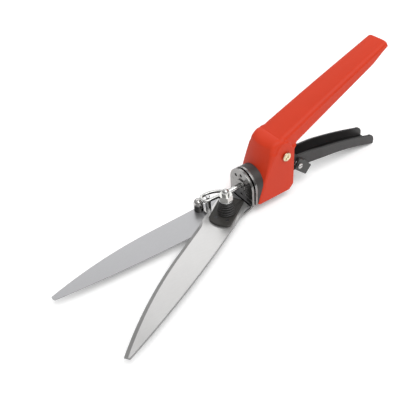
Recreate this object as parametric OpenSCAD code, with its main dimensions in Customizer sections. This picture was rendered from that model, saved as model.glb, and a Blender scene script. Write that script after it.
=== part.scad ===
// One-hand grass shears with a turning blade head.
// The origin is on the pivot bolt's axis at the underside of its head:
// +X along the swivel axis to the blade tips, +Y left, +Z up.
// The blades stand open and the lever is released.

/* [Blades] */
// Length from the pivot bolt to the blade tip
blade_len = 150; // [140:1:160]
// Thickness of each blade
blade_t = 2; // [1.6:0.1:2.2]
// Distance from the blade's own axis to its straight left edge
edge_left = 14.6; // [14:0.1:15]
// Distance from the blade's own axis to its right edge at the tang
edge_right = 11.6; // [11:0.1:12]
// Width of the ground bevel along a cutting edge
bevel_w = 3.4; // [3:0.1:5]
// Angle the moving blade stands open at rest
open_angle = 27.5; // [20:0.5:28]
// Sideways distance from the swivel axis to the pivot bolt
pivot_y = 8.6; // [8.4:0.1:9]
// Height of the moving blade's top face
blade_z = -12.5; // [-13:0.1:-12]

/* [Head] */
// Radius of the arched plates
plate_r = 14.7; // [14:0.1:15]
// Thickness of the bracket sheet
sheet_t = 2; // [1.6:0.1:2.2]
// Front face of the bracket's upright plate
plate_x = -21.8; // [-23:0.1:-21.5]
// Radius of the circle the index holes lie on
index_r = 9.4; // [9:0.1:9.6]
// Diameter of the pivot bolt
bolt_d = 6; // [5:0.5:6]

/* [Pull rod] */
// Diameter of the pull rod
rod_d = 4.2; // [3.8:0.1:4.4]
// Width of the eye's wire
eye_wire = 2.4; // [2.2:0.1:2.6]

/* [Handle] */
// Thickness of the pressed shell
shell_t = 1.5; // [1.2:0.1:1.6]
// Half width of the shell at the cheeks
shell_w = 15.1; // [15:0.1:15.6]
// Half width of the shell at its far end
tail_w = 10.5; // [9.5:0.1:12]
// Far end of the shell behind the pivot bolt
tail_x = -168; // [-172:1:-165]

/* [Lever] */
// Distance of the lever pin behind the pivot bolt
pin_back = 56; // [55.5:0.1:56.5]
// Height of the lever pin above the swivel axis
pin_z = 21.2; // [20.8:0.1:21.4]
// Diameter of the lever pin
pin_d = 6; // [5:0.5:6]
// Outside half width of the lever between the shell's cheeks
lever_w = 7.5; // [7.3:0.1:7.6]
// Outside half width of the lever where the hand holds it
grip_w = 8.7; // [7.6:0.1:9]
// Thickness of the lever's sheet
lever_t = 1.8; // [1.4:0.1:1.8]
// Far end of the lever behind the pivot bolt
lever_end = -169; // [-172:0.5:-167]

/* [Hidden] */
$fn = 64;

pin_x = -pin_back;
gap = 0.05;
big = 400;
curve_steps = 24;

// Blade outline
curve_x = 58;
tip_y = -2;
tip_w = 4.5;
tip_back = 0.6;
tang_r = 19.5;
left_drop = edge_left + tip_y;
left_r = (pow(blade_len - curve_x, 2) + pow(left_drop, 2)) / (2 * left_drop);
right_x = 10;
right_drop = edge_right - tip_y - tip_w;
right_r = (pow(blade_len - tip_back - right_x, 2) + pow(right_drop, 2)) / (2 * right_drop);
bevel_end_t = 0.3;
bevel_start = 24;
bevel_run_r = 12;

// Heights of the stack on the pivot bolt
moving_bottom = blade_z - blade_t;
fixed_top = moving_bottom - gap;
fixed_bottom = fixed_top - blade_t;
base_bottom = fixed_bottom - sheet_t;
drive_plate_t = 2;
spring_z0 = blade_z + drive_plate_t;
nut_z = 2.6;
nut_h = 5;
nut_af = 10;
washer_t = 0.6;
bolt_top = 12.6;
bolt_r = bolt_d / 2;
bolt_hole_r = bolt_r + gap;
bolt_head_h = 4.2;

// Drive stud on the moving blade's ear, and the eye that pulls it
stud_at = [8.5, -4.5];
stud_r = 1.3;
stud_body_r = 2.3;
ear_r = 4;
eye_half = 2.7;
eye_y = -5.76;
eye_clear = 1.8;
eye_front = stud_at[0] + stud_r + eye_clear;
eye_back = 0;
eye_join = -9;
eye_z = -0.6;
eye_h = 2.6;

// Flush rivets
fixed_rivet_at = [[-13, -8], [-13, 3]];
fixed_rivet_r = 2;
rivet_head_r = 3.4;
rivet_head_h = 1;
plate_rivet_at = [[9, 5], [9, -5]];
plate_rivet_r = 1.5;

// Closing stop
stop_at = [13.5, -11.4];
stop_r = 4;
stop_mid_z = -7.3;
stop_shank_r = 2.5;
stud_nut_af = 8;
stud_nut_h = 2.7;
stud_tail = 3.6;

// Plates and collar along the swivel axis
washer_gap = 1.6;
yoke_x = plate_x - sheet_t - washer_gap;
collar_x = yoke_x - sheet_t - gap;
collar_r = 14.4;
collar_body_r = 13.4;
collar_end = -43.5;
skirt_end = -38;
skirt_drop = 13.8;
sleeve_r = 4.5;
sleeve_bore_r = 2.35;
sleeve_hole_r = sleeve_r + gap;
sleeve_end = -46.8;
hub_r = 5.5;
hub_h = 1.2;
index_hole_r = 1.4;
neck_w = 12.4;
flare_x = -7;
flare_w = 15.4;
ball_r = 1.6;
pocket_r = 1.7;
pocket_depth = 9;
collar_body_w = 11.4;

// Shell
front_x = -28.2;
front_z = -14.5;
front_lean = 0.34;
front_roll_r = 40;
front_bow = 3;
nose_z = 31.3;
cheek_back = -65.2;
cheek_bottom = -15.7;
nose_r = 7;
end_r = 3;
end_top = 7;
boss_r = 7.5;
boss_h = 0.6;

// Yoke legs
leg_in = 11.6;
leg_top = 2.8;
leg_bottom = -12;
leg_out = shell_w - shell_t - 0.1;

// Lever
arm = pin_z;
fork_slot_r = 4.75;
trunnion_r = 4.5;
bush_r = 4.95;
lever_in = lever_w - lever_t;
catch_at = [-75.5, -0.3];
catch_screw_r = 1.5;
fork_bottom = -7;
neck_x = -75;
lever_steps = 36;
grip_x0 = -90;
grip_x1 = -104;
catch_y0 = 8.6;
catch_t = 2;

function front_line(z) = front_x - front_lean * (z - front_z);
function left_y(x) = x < curve_x ? -edge_left
    : -edge_left + left_r - sqrt(pow(left_r, 2) - pow(x - curve_x, 2));
function right_y(x) = x < right_x ? edge_right
    : edge_right - right_r + sqrt(pow(right_r, 2) - pow(x - right_x, 2));
function bottom_line(x) = 29.1 + 0.437 * (-69 - x);
function lever_top(x) = 8 + 0.115 * (x - neck_x) - 0.00115 * pow(x - neck_x, 2);
function lever_bottom(x) = -5.6 + 0.004 * (x - neck_x) - 0.00187 * pow(x - neck_x, 2);
function circle_pts(c, r, a0, a1, n) = [for (i = [0 : n]) c + r * [cos(a0 + (a1 - a0) * i / n),
    sin(a0 + (a1 - a0) * i / n)]];

// Solid made by sweeping a round wire through a list of points
module wire(pts, r, sides = 8) {
    n = len(pts);
    function tangent(i) = let (a = pts[max(i - 1, 0)], b = pts[min(i + 1, n - 1)]) (b - a) / norm(b - a);
    function side(i, up) = let (t = tangent(i), s = cross(up, t)) s / norm(s);
    up = [0.31, 0.92, 0.24];
    ring = [for (i = [0 : n - 1]) let (t = tangent(i), u = side(i, up), v = cross(t, u))
        for (k = [0 : sides - 1]) pts[i] + r * (cos(360 * k / sides) * u + sin(360 * k / sides) * v)];
    skin = [for (i = [0 : n - 2]) for (k = [0 : sides - 1])
        [i * sides + k, i * sides + (k + 1) % sides, (i + 1) * sides + (k + 1) % sides, (i + 1) * sides + k]];
    first = [for (k = [sides - 1 : -1 : 0]) k];
    last = [for (k = [0 : sides - 1]) (n - 1) * sides + k];
    polyhedron(points = ring, faces = concat(skin, [first], [last]), convexity = 10);
}

// Cylinder along X from x0 to x1
module rod_x(r, x0, x1, y = 0, z = 0) {
    translate([min(x0, x1), y, z]) rotate([0, 90, 0]) cylinder(r = r, h = abs(x1 - x0));
}

// Cylinder along Y from y0 to y1
module rod_y(r, y0, y1, x, z) {
    translate([x, max(y0, y1), z]) rotate([90, 0, 0]) cylinder(r = r, h = abs(y1 - y0));
}

// Side profile, drawn in X and Z, made into a slab from y0 to y1
module slab_xz(y0, y1) {
    translate([0, y1, 0]) rotate([90, 0, 0]) linear_extrude(y1 - y0) children();
}

module hexagon(af, h) {
    cylinder(r = af / sqrt(3), h = h, $fn = 6);
}

module hex_nut(af, h, bore) {
    difference() {
        intersection() {
            hexagon(af, h);
            cylinder(r1 = af * 0.53, r2 = af * 0.53 + h, h = h);
            cylinder(r1 = af * 0.53 + h, r2 = af * 0.53, h = h);
        }
        translate([0, 0, -1]) cylinder(r = bore, h = h + 2);
    }
}

// Half round plate with straight sides, standing across the X axis
module tombstone(x0, x1, r, bottom) {
    rod_x(r, x0, x1);
    translate([x0, -r, bottom]) cube([x1 - x0, 2 * r, -bottom]);
}

// Places are measured from the swivel axis, then moved so that the pivot bolt's head stands on the origin
module placed() {
    translate([0, -pivot_y, bolt_head_h - base_bottom]) children();
}

// ---- Blades ----

module blade_outline(back_x) {
    step_l = (blade_len - curve_x) / curve_steps;
    step_r = (blade_len - tip_back - right_x) / curve_steps;
    left = [for (i = [0 : curve_steps]) [curve_x + step_l * i, left_y(curve_x + step_l * i)]];
    right = [for (i = [curve_steps : -1 : 0]) [right_x + step_r * i, right_y(right_x + step_r * i)]];
    polygon(concat([[back_x, -edge_left]], left, right, [[back_x, edge_right]]));
}

// Wedge cut along the left edge, deepest at the edge itself
module left_bevel(depth) {
    wedge = [[-1, 0.01], [-1, -depth * (1 + 1 / bevel_w)], [bevel_w, 0.01]];
    run_sweep = 60;
    translate([bevel_start, -edge_left, 0]) rotate([90, 0, 90])
        linear_extrude(curve_x - bevel_start + 0.1) polygon(wedge);
    translate([bevel_start + 0.05, -edge_left - bevel_run_r, 0]) rotate([0, 0, 90])
        rotate_extrude(angle = run_sweep, $fn = 128) translate([bevel_run_r, 0]) polygon(wedge);
    sweep = asin((blade_len - curve_x) / left_r) + 1;
    translate([curve_x, left_r - edge_left, 0]) rotate([0, 0, -90]) rotate_extrude(angle = sweep, $fn = 256)
        translate([left_r, 0]) polygon([for (p = wedge) [-p[0], p[1]]]);
}

// Wedge cut along the underside of the right edge
module right_bevel(depth) {
    wedge = [[1, -0.01], [1, depth * (1 + 1 / bevel_w)], [-bevel_w, -0.01]];
    start = asin((bevel_start - right_x) / right_r);
    sweep = asin((blade_len - right_x) / right_r) + 1 - start;
    translate([right_x, edge_right - right_r, 0]) rotate([0, 0, 90 - start - sweep])
        rotate_extrude(angle = sweep, $fn = 256) translate([right_r, 0]) polygon(wedge);
}

module moving_frame() {
    translate([0, pivot_y, 0]) rotate([0, 0, open_angle]) children();
}

// The drive stud's place in the moving blade's own frame
function in_blade(p) = let (c = cos(open_angle), s = sin(open_angle), q = p - [0, pivot_y])
    [c * q[0] + s * q[1], c * q[1] - s * q[0]];

module moving_blade() {
    ear = in_blade(stud_at);
    placed() color("gainsboro") moving_frame() translate([0, 0, moving_bottom]) difference() {
        union() {
            linear_extrude(blade_t) intersection() {
                blade_outline(-tang_r);
                union() {
                    circle(r = tang_r, $fn = 128);
                    translate([0, -big / 2]) square([big, big]);
                }
            }
            translate([ear[0], ear[1], 0]) cylinder(r = ear_r, h = blade_t);
        }
        translate([0, 0, blade_t]) left_bevel(blade_t - bevel_end_t);
        translate([0, 0, -1]) cylinder(r = bolt_hole_r, h = blade_t + 2);
        translate([ear[0], ear[1], -1]) cylinder(r = stud_r + gap, h = blade_t + 2);
        for (p = plate_rivet_at) translate([p[0], p[1], -1]) cylinder(r = plate_rivet_r + gap, h = blade_t + 2);
    }
}

module fixed_blade() {
    tang_x = plate_x + 0.6;
    placed() color("lightgray") translate([0, 0, fixed_bottom]) difference() {
        linear_extrude(blade_t) union() {
            blade_outline(flare_x);
            polygon([[tang_x, -neck_w + 0.6], [flare_x, -plate_r + 0.3], [12, -plate_r + 0.3],
                [12, flare_w - 2.6], [7, flare_w - 0.6], [flare_x, flare_w - 0.6], [tang_x, neck_w - 0.6]]);
        }
        right_bevel(blade_t - bevel_end_t);
        translate([0, pivot_y, -1]) cylinder(r = bolt_hole_r, h = blade_t + 2);
        translate([stop_at[0], stop_at[1], -1]) cylinder(r = stop_shank_r + gap, h = blade_t + 2);
        for (p = fixed_rivet_at) translate([p[0], p[1], -1]) cylinder(r = fixed_rivet_r + gap, h = blade_t + 2);
    }
}

// Flush rivets that hold the fixed blade on the bracket
module blade_rivets() {
    placed() color("silver") for (p = fixed_rivet_at) translate([p[0], p[1], base_bottom]) {
        cylinder(r = fixed_rivet_r, h = fixed_top - base_bottom);
        translate([0, 0, -rivet_head_h]) cylinder(r = rivet_head_r, h = rivet_head_h);
    }
}

// Flush rivets that hold the drive plate on the moving blade
module plate_rivets() {
    placed() color("dimgray") moving_frame() for (p = plate_rivet_at) translate([p[0], p[1], moving_bottom])
        cylinder(r = plate_rivet_r, h = blade_t + drive_plate_t);
}

// ---- Drive plate, stud and stop ----

module drive_plate() {
    front_r = 19.3;
    placed() color("black") moving_frame() translate([0, 0, blade_z]) difference() {
        linear_extrude(drive_plate_t) intersection() {
            polygon([[-18, -13.4], [11.8, -10.1], [13.4, -8.6], [19, -4], [19, 5], [14.4, 8.4], [12.8, 9.5],
                [-18, 7.2]]);
            translate([-3.1, 0.6]) circle(r = front_r, $fn = 128);
            circle(r = tang_r - 0.9, $fn = 128);
        }
        translate([0, 0, -1]) cylinder(r = bolt_hole_r, h = drive_plate_t + 2);
        for (p = plate_rivet_at) translate([p[0], p[1], -1])
            cylinder(r = plate_rivet_r + gap, h = drive_plate_t + 2);
    }
}

module drive_stud() {
    body_top = eye_z - eye_h / 2 - 0.3;
    pin_top = eye_z + eye_h / 2 + 0.6;
    placed() color("dimgray") translate([stud_at[0], stud_at[1], 0]) {
        translate([0, 0, moving_bottom]) cylinder(r = stud_r, h = pin_top - moving_bottom);
        translate([0, 0, blade_z]) cylinder(r = stud_body_r, h = body_top - blade_z);
        translate([0, 0, pin_top]) cylinder(r1 = 2.1, r2 = 1.4, h = 0.8);
    }
}

module stop_stud() {
    placed() color("silver") translate([stop_at[0], stop_at[1], 0]) {
        translate([0, 0, fixed_top]) cylinder(r = stop_r, h = stop_mid_z - fixed_top);
        translate([0, 0, stop_mid_z]) sphere(r = stop_r);
        translate([0, 0, base_bottom - stud_tail])
            cylinder(r = stop_shank_r, h = fixed_top - base_bottom + stud_tail);
    }
}

module stud_nut() {
    placed() color("silver") translate([stop_at[0], stop_at[1], base_bottom - stud_nut_h])
        hex_nut(stud_nut_af, stud_nut_h, stop_shank_r + gap);
}

// ---- Pivot ----

module pivot_bolt() {
    placed() color("silver") translate([0, pivot_y, 0]) {
        translate([0, 0, base_bottom - bolt_head_h]) rotate([0, 0, 30]) hexagon(nut_af, bolt_head_h);
        translate([0, 0, base_bottom - 1]) cylinder(r = bolt_r, h = bolt_top - bolt_r - base_bottom + 1.2);
        translate([0, 0, bolt_top - bolt_r]) sphere(r = bolt_r);
    }
}

module pivot_nut() {
    placed() color("whitesmoke") translate([0, pivot_y, nut_z]) rotate([0, 0, 10])
        hex_nut(nut_af, nut_h, bolt_r + gap);
}

module nut_washer() {
    placed() color("silver") translate([0, pivot_y, nut_z - washer_t]) difference() {
        cylinder(r = 5.6, h = washer_t);
        translate([0, 0, -1]) cylinder(r = bolt_hole_r, h = washer_t + 2);
    }
}

module cone_spring() {
    wire_r = 0.8;
    turns = 5.5;
    base_r = 7;
    top_r = 4.8;
    per_turn = 20;
    z0 = spring_z0 + wire_r;
    z1 = nut_z - washer_t - wire_r;
    steps = turns * per_turn;
    closed = 2 * wire_r + 0.1;
    pitch = (z1 - z0 - 2 * closed) / (turns - 2);
    function rise(t) = t < 1 ? closed * t : t > turns - 1 ? z1 - z0 - closed * (turns - t)
        : closed + pitch * (t - 1);
    placed() color("black") translate([0, pivot_y, 0]) wire([for (i = [0 : steps]) let (t = i / per_turn,
        r = base_r + (top_r - base_r) * t / turns) [r * cos(360 * t), r * sin(360 * t), z0 + rise(t)]],
        wire_r);
}

// ---- Bracket and swivel ----

module head_bracket() {
    base_front = 21;
    bend_r = sheet_t;
    back = plate_x - sheet_t;
    holes = [90, 135, 270, 315];
    placed() color("silver") difference() {
        union() {
            tombstone(back, plate_x, plate_r, front_z);
            translate([back, -neck_w, base_bottom + bend_r]) cube([sheet_t, 2 * neck_w, front_z - base_bottom]);
            intersection() {
                rod_y(bend_r, -neck_w, neck_w, back + bend_r, base_bottom + bend_r);
                translate([back, -neck_w, base_bottom]) cube([bend_r, 2 * neck_w, bend_r]);
            }
            translate([0, 0, base_bottom]) linear_extrude(sheet_t) polygon([[back + bend_r, -neck_w],
                [flare_x, -plate_r], [base_front, -plate_r], [base_front, 6], [8, flare_w],
                [flare_x, flare_w], [back + bend_r, neck_w]]);
        }
        rod_x(sleeve_hole_r, -big, big);
        for (a = holes) rod_x(index_hole_r, -big, big, index_r * cos(a), index_r * sin(a));
        translate([0, pivot_y, -big]) cylinder(r = bolt_hole_r, h = big);
        translate([stop_at[0], stop_at[1], -big]) cylinder(r = stop_shank_r + gap, h = big);
        for (p = fixed_rivet_at) translate([p[0], p[1], -big]) cylinder(r = fixed_rivet_r + gap, h = big);
    }
}

module swivel_sleeve() {
    groove_r = 4;
    placed() color("silver") difference() {
        union() {
            rod_x(sleeve_r, sleeve_end, plate_x);
            rod_x(hub_r, plate_x, plate_x + hub_h);
        }
        rod_x(sleeve_bore_r, -big, big);
        difference() {
            rod_x(sleeve_r + 1, sleeve_end + 0.9, sleeve_end + 2.1);
            rod_x(groove_r, -big, big);
        }
    }
}

module swivel_washer() {
    placed() color("dimgray") difference() {
        rod_x(7.4, yoke_x + gap, plate_x - sheet_t - gap);
        rod_x(sleeve_hole_r, -big, big);
    }
}

module sleeve_washer() {
    placed() color("silver") difference() {
        rod_x(7.5, collar_end - 1.1, collar_end - 0.1);
        rod_x(sleeve_hole_r, -big, big);
    }
}

module sleeve_clip() {
    placed() color("dimgray") difference() {
        rod_x(6.2, sleeve_end + 1, sleeve_end + 2);
        rod_x(4 + gap, -big, big);
        translate([sleeve_end, -1.6, 0]) cube([3, 3.2, 10]);
    }
}

// Solid behind the shell's leaning front face, which bows forward in the middle
module behind_shell_front(grow) {
    translate([front_x, 0, front_z]) rotate([0, -atan(front_lean), 0]) {
        translate([front_bow - front_roll_r, 0, -big / 2])
            cylinder(r = front_roll_r + grow, h = big, $fn = 256);
        translate([-big, -big / 2, -big / 2]) cube([big - front_roll_r / 2, big, big]);
    }
}

// Arched collar with a round body inside the shell, slotted for the yoke's legs
module swivel_collar() {
    placed() color("black") difference() {
        union() {
            difference() {
                tombstone(pin_x, collar_x, collar_r, -skirt_drop);
                behind_shell_front(gap);
            }
            intersection() {
                rod_x(collar_body_r, collar_end, collar_x);
                translate([-big, -collar_body_w, -big / 2]) cube([big, 2 * collar_body_w, big]);
            }
            translate([skirt_end, -collar_body_r, -skirt_drop])
                cube([collar_x - skirt_end, 2 * collar_body_r, skirt_drop]);
        }
        rod_x(sleeve_hole_r, -big, big);
        for (s = [-1, 1]) {
            rod_x(pocket_r, collar_x - pocket_depth, collar_x + 1, 0, s * index_r);
            translate([-big, s > 0 ? leg_in - gap : -leg_out - gap, leg_bottom - gap])
                cube([big, leg_out - leg_in + 2 * gap, leg_top - leg_bottom + 2 * gap]);
        }
    }
}

// Rear plate with two legs that reach back to the lever pin
module mounting_yoke() {
    placed() color("silver") difference() {
        union() {
            tombstone(yoke_x - sheet_t, yoke_x, plate_r, front_z);
            for (s = [-1, 1]) slab_xz(s > 0 ? leg_in : -leg_out, s > 0 ? leg_out : -leg_in) {
                polygon([[yoke_x - 1, leg_bottom], [yoke_x - 1, leg_top], [-41, leg_top],
                    [pin_x + 6, pin_z + 6], [pin_x - 6, pin_z - 6], [-47, leg_bottom]]);
                translate([pin_x, pin_z]) circle(r = 8);
            }
        }
        rod_x(sleeve_hole_r, -big, 0);
        for (s = [-1, 1]) rod_x(pocket_r, -big, 0, 0, s * index_r);
        rod_y(pin_d / 2 + gap, -20, 20, pin_x, pin_z);
    }
}

module detent_balls() {
    placed() color("silver") for (s = [-1, 1]) translate([plate_x - sheet_t - ball_r - gap, 0, s * index_r])
        sphere(r = ball_r);
}

module detent_springs() {
    wire_r = 0.25;
    coil_r = 1.3;
    turns = 6;
    per_turn = 12;
    x0 = collar_x - pocket_depth + wire_r;
    x1 = plate_x - sheet_t - 2 * ball_r - gap - 0.1;
    placed() color("gray") for (s = [-1, 1]) wire([for (i = [0 : turns * per_turn]) let (a = 360 * i / per_turn)
        [x0 + (x1 - x0) * i / (turns * per_turn), coil_r * cos(a), s * index_r + coil_r * sin(a)]], wire_r, 6);
}

// ---- Pull rod ----

// Teardrop that closes from the eye's round front on to the rod
module eye_shape(r, join_y, join_x) {
    hub = [eye_front - eye_half, eye_y];
    translate(hub) circle(r = r);
    polygon([[hub[0], eye_y - r], [hub[0], eye_y + r], [eye_back, eye_y + r], [join_x, join_y + 1],
        [join_x, join_y - 1], [eye_back, eye_y - r]]);
}

module pull_rod() {
    rear = -66.5;
    placed() color("silver") {
        rod_x(rod_d / 2, rear, eye_join);
        translate([eye_join, 0, 0]) sphere(r = rod_d / 2);
        translate([0, 0, eye_z - eye_h / 2]) linear_extrude(eye_h) difference() {
            eye_shape(eye_half + eye_wire, -0.7, eye_join - 0.5);
            eye_shape(eye_half, -2.4, eye_join + 4.5);
        }
    }
}

module rod_nuts() {
    nut_t = 3.2;
    rod_nut_af = 7;
    off = trunnion_r + 2 * gap;
    placed() color("silver") for (x = [pin_x + off, pin_x - off - nut_t])
        translate([x, 0, 0]) rotate([0, 90, 0]) hex_nut(rod_nut_af, nut_t, rod_d / 2 + gap);
}

module drive_trunnion() {
    placed() color("gray") difference() {
        rod_y(trunnion_r, -lever_w, lever_w, pin_x, 0);
        rod_x(rod_d / 2 + gap, -big, big);
    }
}

// ---- Handle shell ----

// Side profile of the shell, open in front, where the rolled face closes it
module shell_side(drop) {
    end_lean = 2.4;
    nose = nose_r - drop;
    nose_at = [front_line(nose_z) - nose_r + front_bow, nose_z - 1.5];
    end_at = [tail_x + end_r, bottom_line(tail_x) + end_top - end_r];
    polygon(concat([[0, front_z], [0, nose_at[1]]], circle_pts(nose_at, nose, 10, 100, 10),
        [[-72, 41.2 - drop], [-90, 47.8 - drop]], circle_pts(end_at, end_r - drop, 70, 180, 8),
        [[tail_x - end_lean + drop, bottom_line(tail_x)], [-69, bottom_line(-69)], [cheek_back, 26.5],
        [cheek_back, -11.3], [-61, cheek_bottom]]));
}

// Plan of the shell with its corners rounded at the far end
module shell_plan(inset) {
    corner = 5;
    w = tail_w - inset;
    x_end = tail_x - 2.4 + inset;
    polygon(concat([[0, -shell_w + inset], [0, shell_w - inset], [-69, shell_w - inset]],
        circle_pts([x_end + corner, w - corner], corner, 90, 180, 8),
        circle_pts([x_end + corner, corner - w], corner, 180, 270, 8), [[-69, -shell_w + inset]]));
}

// Hollow of the shell, open below and behind the cheeks
module shell_hollow() {
    t = shell_t;
    intersection() {
        slab_xz(-30, 30) polygon(concat([[0, -40], [0, nose_z - 1.5]],
            circle_pts([front_line(nose_z) - nose_r + front_bow, nose_z - 1.5], nose_r - t, 10, 100, 10),
            [[-71.6, 41.2 - 1.06 * t], [-90, 47.8 - 1.06 * t],
            [tail_x + end_r + 1, bottom_line(tail_x) + end_top - 1.06 * t],
            [tail_x - 2.4 + t, bottom_line(tail_x) + 3],
            [tail_x - 2.4 + t, -40]]));
        translate([0, 0, -100]) linear_extrude(300) shell_plan(t);
        behind_shell_front(-t);
    }
}

module handle_shell() {
    placed() color("orangered") difference() {
        union() {
            intersection() {
                slab_xz(-30, 30) shell_side(0);
                translate([0, 0, -100]) linear_extrude(2 * big) shell_plan(0);
                behind_shell_front(0);
            }
            rod_y(boss_r, -shell_w - boss_h, shell_w + boss_h, pin_x, pin_z);
        }
        shell_hollow();
        rod_x(collar_body_r + 0.1, -60, 0);
        translate([-60, -shell_w + shell_t, -30]) cube([60, 2 * (shell_w - shell_t), 30 + leg_top + 0.3]);
        rod_y(pin_d / 2 + gap, -30, 30, pin_x, pin_z);
    }
}

module lever_pin() {
    head_r = 3.8;
    head_h = 1.3;
    face = shell_w + boss_h;
    placed() color("whitesmoke") difference() {
        union() {
            rod_y(pin_d / 2, -face - 2.4, face, pin_x, pin_z);
            rod_y(head_r, face, face + head_h, pin_x, pin_z);
            rod_y(pin_d / 2 + 0.9, -face - 2.4, -face - 1.1, pin_x, pin_z);
        }
        rod_y(2, face + 0.4, face + 5, pin_x, pin_z);
    }
}

module pin_washer() {
    face = shell_w + boss_h;
    placed() color("silver") difference() {
        rod_y(5, -face - 1, -face, pin_x, pin_z);
        rod_y(pin_d / 2 + gap, -30, 0, pin_x, pin_z);
    }
}

module lever_spacers() {
    placed() color("silver") for (s = [-1, 1]) difference() {
        rod_y(4.9, s * (lever_w + gap), s * (leg_in - gap), pin_x, pin_z);
        rod_y(pin_d / 2 + gap, -30, 30, pin_x, pin_z);
    }
}

module lever_bush() {
    placed() color("tan") difference() {
        rod_y(bush_r, -lever_w, lever_w, pin_x, pin_z);
        rod_y(pin_d / 2 + gap, -30, 30, pin_x, pin_z);
    }
}

module return_spring() {
    wire_r = 0.7;
    coil_r = 6.2;
    per_turn = 16;
    turns = 4.25;
    half = 3.8;
    up_leg = 10.5;
    back_x = -78.5;
    back_leg = [back_x, lever_bottom(back_x) + lever_t + wire_r + 4 * gap];
    n = turns * per_turn;
    coil = [for (i = [0 : n]) let (a = -360 * i / per_turn) [pin_x + coil_r * cos(a),
        half - 2 * half * i / n, pin_z + coil_r * sin(a)]];
    placed() color("dimgray") wire(concat([[pin_x + coil_r, half, pin_z + up_leg]], coil,
        [[back_leg[0], -half, back_leg[1]]]), wire_r);
}

// ---- Lever ----

// Side view of the lever, with its far end's upper corner rounded off
module lever_side() {
    steps = lever_steps;
    top_r = 8;
    foot_r = 1.5;
    top_x = lever_end + top_r;
    foot_x = lever_end + foot_r;
    bottom = [for (i = [0 : steps]) let (x = neck_x + (foot_x - neck_x) * i / steps) [x, lever_bottom(x)]];
    top = [for (i = [steps : -1 : 0]) let (x = neck_x + (top_x - neck_x) * i / steps) [x, lever_top(x)]];
    polygon(concat([[pin_x + 8.4, -2], [pin_x + 3.4, fork_bottom], [pin_x - 10, fork_bottom]], bottom,
        circle_pts([foot_x, lever_bottom(foot_x) + foot_r], foot_r, 255, 180, 6),
        circle_pts([top_x, lever_top(top_x) - top_r], top_r, 180, 105, 16), top,
        circle_pts([pin_x, pin_z], 9, 175, 10, 20)));
}

// Plan of the lever, wider at the grip
module lever_plan(inset) {
    w = lever_w - inset;
    g = grip_w - inset;
    x_end = lever_end - 5;
    translate([0, 0, -big / 2]) linear_extrude(big) polygon([[0, -w], [0, w], [grip_x0, w], [grip_x1, g],
        [x_end, g], [x_end, -g], [grip_x1, -g], [grip_x0, -w]]);
}

// Space between the lever's cheeks, above its web
module lever_hollow() {
    steps = lever_steps;
    x0 = -71;
    x1 = lever_end - 2;
    xs = [for (i = [0 : steps]) x0 + (x1 - x0) * i / steps];
    intersection() {
        slab_xz(-grip_w, grip_w) {
            polygon(concat([for (x = xs) [x, lever_bottom(x) + lever_t]], [[x1, 60], [x0, 60]]));
            translate([x0, -30]) square([60, 90]);
        }
        lever_plan(lever_t);
    }
}

module squeeze_lever() {
    slot_top = arm - 20.3;
    slot_bottom = arm - 22.6;
    placed() color("black") difference() {
        intersection() {
            slab_xz(-grip_w, grip_w) lever_side();
            lever_plan(0);
        }
        lever_hollow();
        rod_y(bush_r + gap, -30, 30, pin_x, pin_z);
        for (z = [slot_top, slot_bottom]) rod_y(fork_slot_r, -30, 30, pin_x, z);
        translate([pin_x - fork_slot_r, -30, slot_bottom]) cube([2 * fork_slot_r, 60, slot_top - slot_bottom]);
        rod_y(catch_screw_r + gap, 0, 30, catch_at[0], catch_at[1]);
    }
}

module lock_catch() {
    placed() color("black") difference() {
        slab_xz(catch_y0, catch_y0 + catch_t) polygon(concat([[-71, -2.6], [-75.8, 6.2], [-82.5, 1.6]],
            circle_pts([-87.4, -6.6], 1.6, 120, 215, 5), circle_pts([-83.2, -11.6], 1.6, 235, 290, 4)));
        rod_y(catch_screw_r + gap, 0, 30, catch_at[0], catch_at[1]);
    }
}

module catch_screw() {
    head_r = 2.4;
    placed() color("whitesmoke") difference() {
        union() {
            rod_y(catch_screw_r, lever_in - 1.2, catch_y0 + catch_t + gap, catch_at[0], catch_at[1]);
            rod_y(head_r, catch_y0 + catch_t + gap, catch_y0 + catch_t + 1.7, catch_at[0], catch_at[1]);
        }
        translate([catch_at[0] - 3, catch_y0 + catch_t + 0.9, catch_at[1] - 0.35]) cube([6, 3, 0.7]);
    }
}

module catch_washer() {
    placed() color("silver") difference() {
        rod_y(3.2, lever_w, catch_y0 - gap, catch_at[0], catch_at[1]);
        rod_y(catch_screw_r + gap, 0, 30, catch_at[0], catch_at[1]);
    }
}

handle_shell();
swivel_collar();
mounting_yoke();
detent_balls();
detent_springs();
lever_pin();
pin_washer();
lever_spacers();
return_spring();
squeeze_lever();
lever_bush();
catch_screw();
catch_washer();
lock_catch();
drive_trunnion();
head_bracket();
swivel_sleeve();
swivel_washer();
sleeve_washer();
sleeve_clip();
fixed_blade();
blade_rivets();
stop_stud();
stud_nut();
pivot_bolt();
cone_spring();
nut_washer();
pivot_nut();
moving_blade();
drive_plate();
plate_rivets();
drive_stud();
pull_rod();
rod_nuts();
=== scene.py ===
"""Looks of the one-hand grass shears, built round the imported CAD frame."""
import math

import bmesh
import bpy
from mathutils import Matrix, Vector


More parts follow.
